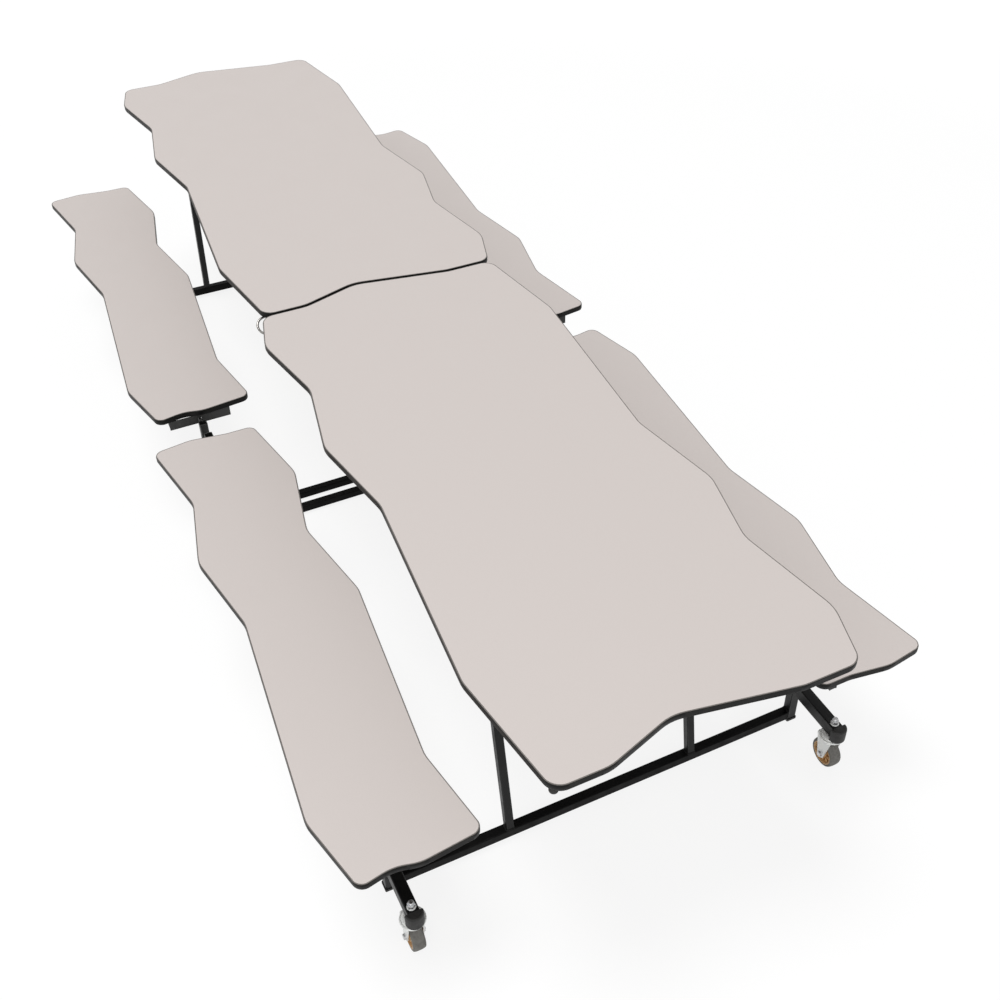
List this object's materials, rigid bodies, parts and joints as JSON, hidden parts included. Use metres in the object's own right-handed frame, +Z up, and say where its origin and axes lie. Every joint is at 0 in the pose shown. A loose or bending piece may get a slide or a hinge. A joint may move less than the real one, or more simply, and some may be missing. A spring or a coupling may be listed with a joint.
{
  "type": "cafeteria folding table with benches",
  "caption": "Folding cafeteria table with wavy-edged boards, benches along both sides, tubular black frames and swivel casters; the middle rises and the ends roll together.",
  "frame": {"origin": "on the floor at the middle of the open table", "axes": "+X along the table towards half a, +Y towards the right benches, +Z up"},
  "size_m": [3.6986, 1.5078, 0.75],
  "materials": {
    "laminate": "pale warm grey laminate, satin",
    "edge_band": "black edge band",
    "black_paint": "black powder coat, semi-gloss",
    "dark_steel": "dark coated steel",
    "black_plastic": "black moulded plastic",
    "zinc": "bright zinc plate",
    "wheel_core": "tan moulded nylon",
    "tread": "grey rubber"
  },
  "bodies": {
    "end_frame_a": {"end_crossbar_a": "black_paint", "end_legs_a": "black_paint", "end_posts_a": "black_paint", "end_feet_a": "black_plastic", "caster_arms_a": "black_paint", "caster_stems_a": "zinc"},
    "top_a": {"top_a_board": "laminate", "top_a_edge": "edge_band", "top_rails_a": "black_paint", "top_clevises_a": "dark_steel", "hinge_leaves_a": "dark_steel", "bumper_a": "black_plastic", "torsion_bar": "dark_steel", "lock_guides": "dark_steel"},
    "inner_frame_a": {"inner_crossbar_a": "black_paint", "inner_legs_a": "black_paint", "inner_posts_a": "black_paint", "inner_glides_a": "black_plastic"},
    "bench_left_a": {"bench_left_a_board": "laminate", "bench_left_a_edge": "edge_band", "bench_left_a_frame": "black_paint"},
    "fork_left_a": {"caster_fork_left_a": "zinc"},
    "wheel_left_a": {"caster_core_left_a": "wheel_core", "caster_tyre_left_a": "tread"},
    "bench_right_a": {"bench_right_a_board": "laminate", "bench_right_a_edge": "edge_band", "bench_right_a_frame": "black_paint"},
    "fork_right_a": {"caster_fork_right_a": "zinc"},
    "wheel_right_a": {"caster_core_right_a": "wheel_core", "caster_tyre_right_a": "tread"},
    "end_frame_b": {"end_crossbar_b": "black_paint", "end_legs_b": "black_paint", "end_posts_b": "black_paint", "end_feet_b": "black_plastic", "caster_arms_b": "black_paint", "caster_stems_b": "zinc"},
    "top_b": {"top_b_board": "laminate", "top_b_edge": "edge_band", "top_rails_b": "black_paint", "top_clevises_b": "dark_steel", "hinge_leaves_b": "dark_steel", "bumper_b": "black_plastic"},
    "inner_frame_b": {"inner_crossbar_b": "black_paint", "inner_legs_b": "black_paint", "inner_posts_b": "black_paint", "inner_glides_b": "black_plastic"},
    "bench_left_b": {"bench_left_b_board": "laminate", "bench_left_b_edge": "edge_band", "bench_left_b_frame": "black_paint"},
    "fork_left_b": {"caster_fork_left_b": "zinc"},
    "wheel_left_b": {"caster_core_left_b": "wheel_core", "caster_tyre_left_b": "tread"},
    "bench_right_b": {"bench_right_b_board": "laminate", "bench_right_b_edge": "edge_band", "bench_right_b_frame": "black_paint"},
    "fork_right_b": {"caster_fork_right_b": "zinc"},
    "wheel_right_b": {"caster_core_right_b": "wheel_core", "caster_tyre_right_b": "tread"},
    "release": {"release_handle": "dark_steel"}
  },
  "joints": [
    {"name": "fold", "type": "hinge", "parent": "end_frame_a", "child": "top_a", "pos_m": [1.325, 0, 0.703], "axis": [0, 1, 0], "range_deg": [0, 78]},
    {"name": "inner_frame_a_pivot", "type": "hinge", "parent": "top_a", "child": "inner_frame_a", "pos_m": [0.034, 0, 0.703], "axis": [0, 1, 0], "range_deg": [-78, 0]},
    {"name": "bench_left_a_pivot", "type": "hinge", "parent": "end_frame_a", "child": "bench_left_a", "pos_m": [1.5, -0.582, 0.381], "axis": [0, 1, 0], "range_deg": [0, 78]},
    {"name": "bench_right_a_pivot", "type": "hinge", "parent": "end_frame_a", "child": "bench_right_a", "pos_m": [1.5, 0.582, 0.381], "axis": [0, 1, 0], "range_deg": [0, 78]},
    {"name": "centre_hinge", "type": "hinge", "parent": "top_a", "child": "top_b", "pos_m": [0, 0, 0.669], "axis": [0, 1, 0], "range_deg": [-156, 0]},
    {"name": "end_frame_b_pivot", "type": "hinge", "parent": "top_b", "child": "end_frame_b", "pos_m": [-1.325, 0, 0.703], "axis": [0, 1, 0], "range_deg": [0, 78]},
    {"name": "inner_frame_b_pivot", "type": "hinge", "parent": "top_b", "child": "inner_frame_b", "pos_m": [-0.034, 0, 0.703], "axis": [0, 1, 0], "range_deg": [0, 78]},
    {"name": "bench_left_b_pivot", "type": "hinge", "parent": "end_frame_b", "child": "bench_left_b", "pos_m": [-1.5, -0.582, 0.381], "axis": [0, 1, 0], "range_deg": [-78, 0]},
    {"name": "bench_right_b_pivot", "type": "hinge", "parent": "end_frame_b", "child": "bench_right_b", "pos_m": [-1.5, 0.582, 0.381], "axis": [0, 1, 0], "range_deg": [-78, 0]},
    {"name": "swivel_left_a", "type": "hinge", "parent": "end_frame_a", "child": "fork_left_a", "pos_m": [1.608, -0.582, 0.114], "axis": [0, 0, 1], "continuous": true},
    {"name": "roll_left_a", "type": "hinge", "parent": "fork_left_a", "child": "wheel_left_a", "pos_m": [1.603, -0.582, 0.041], "axis": [0, 1, 0], "continuous": true},
    {"name": "swivel_right_a", "type": "hinge", "parent": "end_frame_a", "child": "fork_right_a", "pos_m": [1.608, 0.582, 0.114], "axis": [0, 0, 1], "continuous": true},
    {"name": "roll_right_a", "type": "hinge", "parent": "fork_right_a", "child": "wheel_right_a", "pos_m": [1.603, 0.582, 0.041], "axis": [0, 1, 0], "continuous": true},
    {"name": "swivel_left_b", "type": "hinge", "parent": "end_frame_b", "child": "fork_left_b", "pos_m": [-1.608, -0.582, 0.114], "axis": [0, 0, 1], "continuous": true},
    {"name": "roll_left_b", "type": "hinge", "parent": "fork_left_b", "child": "wheel_left_b", "pos_m": [-1.603, -0.582, 0.041], "axis": [0, 1, 0], "continuous": true},
    {"name": "swivel_right_b", "type": "hinge", "parent": "end_frame_b", "child": "fork_right_b", "pos_m": [-1.608, 0.582, 0.114], "axis": [0, 0, 1], "continuous": true},
    {"name": "roll_right_b", "type": "hinge", "parent": "fork_right_b", "child": "wheel_right_b", "pos_m": [-1.603, 0.582, 0.041], "axis": [0, 1, 0], "continuous": true},
    {"name": "lock_release", "type": "slide", "parent": "top_a", "child": "release", "axis": [0, 1, 0], "range_m": [-0.006, 0.008]}
  ],
  "couplings": [
    {"joint": "inner_frame_a_pivot", "follows": "fold", "ratio": -1},
    {"joint": "bench_left_a_pivot", "follows": "fold", "ratio": 1},
    {"joint": "bench_right_a_pivot", "follows": "fold", "ratio": 1},
    {"joint": "centre_hinge", "follows": "fold", "ratio": -2},
    {"joint": "end_frame_b_pivot", "follows": "fold", "ratio": 1},
    {"joint": "inner_frame_b_pivot", "follows": "fold", "ratio": 1},
    {"joint": "bench_left_b_pivot", "follows": "fold", "ratio": -1},
    {"joint": "bench_right_b_pivot", "follows": "fold", "ratio": -1}
  ]
}
